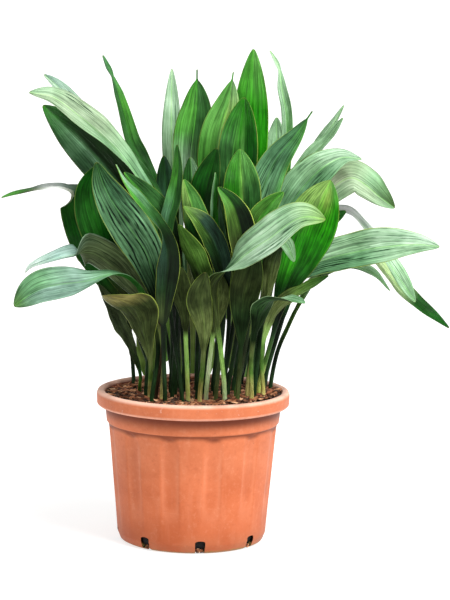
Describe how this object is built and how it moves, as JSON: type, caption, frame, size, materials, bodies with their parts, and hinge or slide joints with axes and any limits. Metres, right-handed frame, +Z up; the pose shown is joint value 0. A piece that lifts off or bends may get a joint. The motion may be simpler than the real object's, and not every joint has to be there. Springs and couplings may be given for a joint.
{
  "type": "potted plant",
  "caption": "Cast iron plant with long arching lance-shaped leaves on thin stalks, rooted in bark compost in a round fluted plastic nursery pot.",
  "frame": {"origin": "middle of the pot's flat underside", "axes": "+Z upwards along the pot's axis; -Y is the front of the plant, where the short leaves bend forward; +X is to the right when the front is looked at"},
  "size_m": [0.6618, 0.569, 0.7112],
  "materials": {
    "pot": "satin terracotta-coloured moulded plastic",
    "soil": "rough damp bark compost",
    "leaf": "glossy waxy leaf with fine lengthwise ribs"
  },
  "bodies": {
    "root": {"pot": "pot", "soil": "soil", "leaf_top_1": "leaf", "leaf_top_2": "leaf", "leaf_top_3": "leaf", "leaf_top_4": "leaf", "leaf_top_5": "leaf", "leaf_top_6": "leaf", "leaf_top_7": "leaf", "leaf_top_8": "leaf", "leaf_left_1": "leaf", "leaf_left_2": "leaf", "leaf_left_3": "leaf", "leaf_left_4": "leaf", "leaf_left_5": "leaf", "leaf_left_6": "leaf", "leaf_left_7": "leaf", "leaf_left_8": "leaf", "leaf_left_9": "leaf", "leaf_left_10": "leaf", "leaf_left_11": "leaf", "leaf_left_12": "leaf", "leaf_mid_1": "leaf", "leaf_mid_2": "leaf", "leaf_mid_3": "leaf", "leaf_mid_4": "leaf", "leaf_mid_5": "leaf", "leaf_mid_6": "leaf", "leaf_mid_7": "leaf", "leaf_mid_8": "leaf", "leaf_mid_9": "leaf", "leaf_mid_10": "leaf", "leaf_right_1": "leaf", "leaf_right_2": "leaf", "leaf_right_3": "leaf", "leaf_right_4": "leaf", "leaf_right_5": "leaf", "leaf_right_6": "leaf", "leaf_right_7": "leaf", "leaf_right_8": "leaf", "leaf_right_9": "leaf", "leaf_right_10": "leaf", "leaf_right_11": "leaf", "leaf_front_1": "leaf", "leaf_front_2": "leaf", "leaf_front_3": "leaf", "leaf_front_4": "leaf", "leaf_front_5": "leaf", "leaf_front_6": "leaf", "leaf_front_7": "leaf", "leaf_front_8": "leaf", "leaf_front_9": "leaf", "leaf_back_1": "leaf", "leaf_back_2": "leaf", "leaf_back_3": "leaf", "leaf_back_4": "leaf", "leaf_back_5": "leaf", "leaf_back_6": "leaf", "leaf_back_7": "leaf"}
  },
  "joints": []
}
